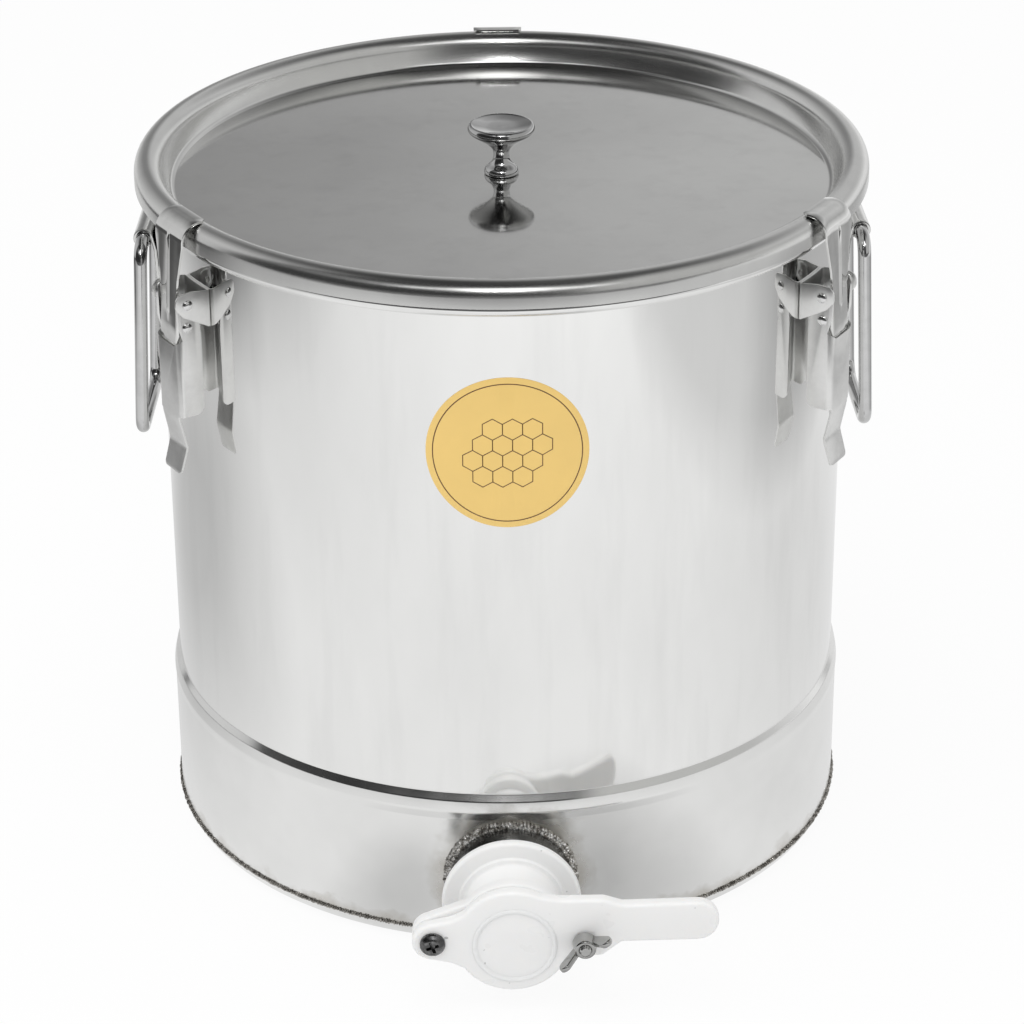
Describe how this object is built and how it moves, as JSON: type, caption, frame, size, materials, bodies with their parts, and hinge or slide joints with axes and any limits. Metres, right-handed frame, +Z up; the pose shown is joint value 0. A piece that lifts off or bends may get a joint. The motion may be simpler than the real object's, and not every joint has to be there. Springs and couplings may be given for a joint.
{
  "type": "honey settling tank",
  "caption": "Stainless honey settling tank with a clamped dish lid, toggle latches, drop handles and a plastic swing gate at the outlet.",
  "frame": {"origin": "the tank's axis at floor level", "axes": "+Z up along the tank's axis, -Y towards the front, where the gate is"},
  "size_m": [0.3906, 0.4586, 0.385],
  "materials": {
    "polished_sheet": "polished, blurred mirror",
    "satin_sheet": "bright satin sheet",
    "weld_steel": "rough weld run, heat tinted",
    "turned_steel": "turned, bright",
    "chrome_knob": "mirror",
    "bright_strip": "bright pressed strip",
    "satin_strip": "satin pressed strip",
    "rivet_steel": "bright",
    "handle_rod": "polished rod",
    "bracket_sheet": "polished sheet",
    "white_plastic": "gloss",
    "gate_rubber": "soft black rubber",
    "lid_silicone": "pale silicone",
    "dark_screw": "blackened",
    "label_foil": "gold foil"
  },
  "bodies": {
    "tank": {"tank_shell": "satin_sheet", "mouth_bead": "satin_sheet", "lower_band": "satin_sheet", "bottom_pan": "satin_sheet", "bottom_weld": "weld_steel", "outlet_socket": "turned_steel", "outlet_weld": "weld_steel", "label_disc": "label_foil", "gate_body": "white_plastic", "gate_seal": "gate_rubber", "leaf_seal": "gate_rubber", "pivot_screw": "dark_screw", "pivot_nut": "turned_steel", "lock_stud": "turned_steel", "latch_base_left": "bright_strip", "fulcrum_rivets_left": "rivet_steel", "latch_base_right": "bright_strip", "fulcrum_rivets_right": "rivet_steel", "latch_base_rear": "bright_strip", "fulcrum_rivets_rear": "rivet_steel", "handle_bracket_left": "bracket_sheet", "handle_bracket_right": "bracket_sheet"},
    "lid": {"lid_pan": "polished_sheet", "lid_gasket": "lid_silicone", "lid_knob": "chrome_knob", "knob_washer": "turned_steel", "knob_screw": "turned_steel"},
    "lever_left": {"latch_lever_left": "satin_strip", "strap_pin_left": "rivet_steel"},
    "strap_left": {"latch_strap_left": "bright_strip"},
    "lever_right": {"latch_lever_right": "satin_strip", "strap_pin_right": "rivet_steel"},
    "strap_right": {"latch_strap_right": "bright_strip"},
    "lever_rear": {"latch_lever_rear": "satin_strip", "strap_pin_rear": "rivet_steel"},
    "strap_rear": {"latch_strap_rear": "bright_strip"},
    "handle_left": {"handle_left": "handle_rod"},
    "handle_right": {"handle_right": "handle_rod"},
    "leaf": {"gate_leaf": "white_plastic"},
    "wing_nut": {"wing_nut": "turned_steel"}
  },
  "joints": [
    {"name": "lid_lift", "type": "slide", "parent": "tank", "child": "lid", "axis": [0, 0, 1], "range_m": [0, 0.01]},
    {"name": "lever_left_swing", "type": "hinge", "parent": "tank", "child": "lever_left", "pos_m": [-0.16367, -0.10227, 0.333], "axis": [-0.5299, 0.848, 0], "range_deg": [0, 90]},
    {"name": "strap_left_swing", "type": "hinge", "parent": "lever_left", "child": "strap_left", "pos_m": [-0.16367, -0.10227, 0.3205], "axis": [0.5299, -0.848, 0], "range_deg": [0, 123]},
    {"name": "lever_right_swing", "type": "hinge", "parent": "tank", "child": "lever_right", "pos_m": [0.16367, -0.10227, 0.333], "axis": [-0.5299, -0.848, 0], "range_deg": [0, 90]},
    {"name": "strap_right_swing", "type": "hinge", "parent": "lever_right", "child": "strap_right", "pos_m": [0.16367, -0.10227, 0.3205], "axis": [0.5299, 0.848, 0], "range_deg": [0, 123]},
    {"name": "lever_rear_swing", "type": "hinge", "parent": "tank", "child": "lever_rear", "pos_m": [0, 0.193, 0.333], "axis": [1, 0, 0], "range_deg": [0, 90]},
    {"name": "strap_rear_swing", "type": "hinge", "parent": "lever_rear", "child": "strap_rear", "pos_m": [0, 0.193, 0.3205], "axis": [-1, 0, 0], "range_deg": [0, 123]},
    {"name": "handle_left_swing", "type": "hinge", "parent": "tank", "child": "handle_left", "pos_m": [-0.18631, 0.00651, 0.329], "axis": [0.0349, 0.9994, 0], "range_deg": [0, 90]},
    {"name": "handle_right_swing", "type": "hinge", "parent": "tank", "child": "handle_right", "pos_m": [0.18631, 0.00651, 0.329], "axis": [0.0349, -0.9994, 0], "range_deg": [0, 90]},
    {"name": "leaf_swing", "type": "hinge", "parent": "tank", "child": "leaf", "pos_m": [-0.04, -0.238, 0.041], "axis": [0, -1, 0], "range_deg": [0, 80]},
    {"name": "wing_nut_spin", "type": "hinge", "parent": "tank", "child": "wing_nut", "pos_m": [0.036, -0.248, 0.041], "axis": [0, -1, 0], "continuous": true}
  ],
  "couplings": [
    {"joint": "lever_left_swing", "follows": "lid_lift", "rad_per_m": 157},
    {"joint": "strap_left_swing", "follows": "lid_lift", "rad_per_m": 214.6},
    {"joint": "lever_right_swing", "follows": "lid_lift", "rad_per_m": 157},
    {"joint": "strap_right_swing", "follows": "lid_lift", "rad_per_m": 214.6},
    {"joint": "lever_rear_swing", "follows": "lid_lift", "rad_per_m": 157},
    {"joint": "strap_rear_swing", "follows": "lid_lift", "rad_per_m": 214.6}
  ]
}
